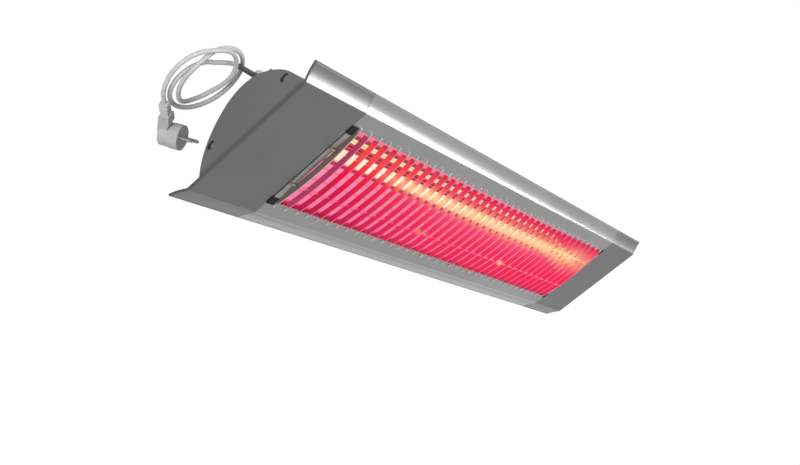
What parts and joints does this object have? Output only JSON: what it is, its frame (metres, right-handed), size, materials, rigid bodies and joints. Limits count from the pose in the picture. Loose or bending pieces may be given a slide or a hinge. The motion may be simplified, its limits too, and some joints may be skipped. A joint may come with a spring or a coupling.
{
  "type": "infrared heater",
  "caption": "Long wall or ceiling infrared heater with swept wings, a louvred red-glowing front, tilting brackets and a coiled cord with a plug.",
  "frame": {"origin": "centre of the mounting surface under the heater, midway between the two wall brackets", "axes": "+X along the heater away from the cord's end, +Z out of the radiant front, +Y across the width"},
  "size_m": [1.2, 0.268, 0.1765],
  "materials": {
    "extrusion": "satin, powder coated silver grey",
    "cap_grey": "matt grey powder coat on a casting",
    "black_seal": "matt",
    "black_steel": "blackened",
    "mirror_alu": "bright",
    "hot_steel": "steel lit red by the lamp",
    "bright_steel": "satin",
    "zinc_steel": "satin",
    "black_plastic": "matt",
    "ruby_glass": "clear ruby",
    "carbon": "glowing carbon",
    "ceramic": "glazed ceramic",
    "wire_sleeve": "glass-silk sleeve",
    "white_plastic": "semi gloss",
    "brass_parts": "satin",
    "friction_pad": "fibre",
    "cord_sheath": "light grey, semi matt",
    "plug_plastic": "light grey, moulded"
  },
  "bodies": {
    "base": {"bracket_left": "zinc_steel", "bracket_right": "zinc_steel", "pivot_bolts": "bright_steel", "pivot_washers": "bright_steel", "friction_washers": "friction_pad", "pivot_nuts": "bright_steel", "cord_lead": "cord_sheath", "cord_coil": "cord_sheath", "cord_tail": "cord_sheath", "plug_boot": "cord_sheath", "plug_body": "plug_plastic", "plug_barrel": "plug_plastic", "plug_pins": "bright_steel", "plug_earth_strips": "brass_parts"},
    "head": {"housing": "extrusion", "end_cap_left": "cap_grey", "end_cap_right": "cap_grey", "end_gasket_left": "black_seal", "end_gasket_right": "black_seal", "cap_screws_left": "black_steel", "cap_screws_right": "black_steel", "reflector": "mirror_alu", "reflector_end_left": "mirror_alu", "reflector_end_right": "mirror_alu", "grille_blades": "hot_steel", "grille_rods": "bright_steel", "grille_rail_left": "bright_steel", "grille_rail_right": "bright_steel", "grille_clips": "black_plastic", "lamp_tube": "ruby_glass", "lamp_filament": "carbon", "lamp_base_left": "ceramic", "lamp_base_right": "ceramic", "lamp_socket_left": "ceramic", "lamp_socket_right": "ceramic", "socket_shelf_left": "bright_steel", "socket_shelf_right": "bright_steel", "lead_wire_left": "wire_sleeve", "lead_wire_right": "wire_sleeve", "wire_grommets": "black_seal", "terminal_box": "black_plastic", "terminal_lid": "black_plastic", "lid_screws": "bright_steel", "terminal_block": "white_plastic", "terminal_screws": "brass_parts", "box_bolts": "bright_steel", "gland_body": "black_plastic", "gland_locknut": "black_plastic", "gland_seal": "black_seal", "gland_nut": "black_plastic", "supply_end": "cord_sheath", "saddle_left": "zinc_steel", "saddle_right": "zinc_steel", "rail_bolts": "bright_steel", "rail_nuts": "bright_steel"}
  },
  "joints": [
    {"name": "tilt", "type": "hinge", "parent": "base", "child": "head", "pos_m": [0, 0, 0.034], "axis": [1, 0, 0], "range_deg": [-35, 35]}
  ]
}
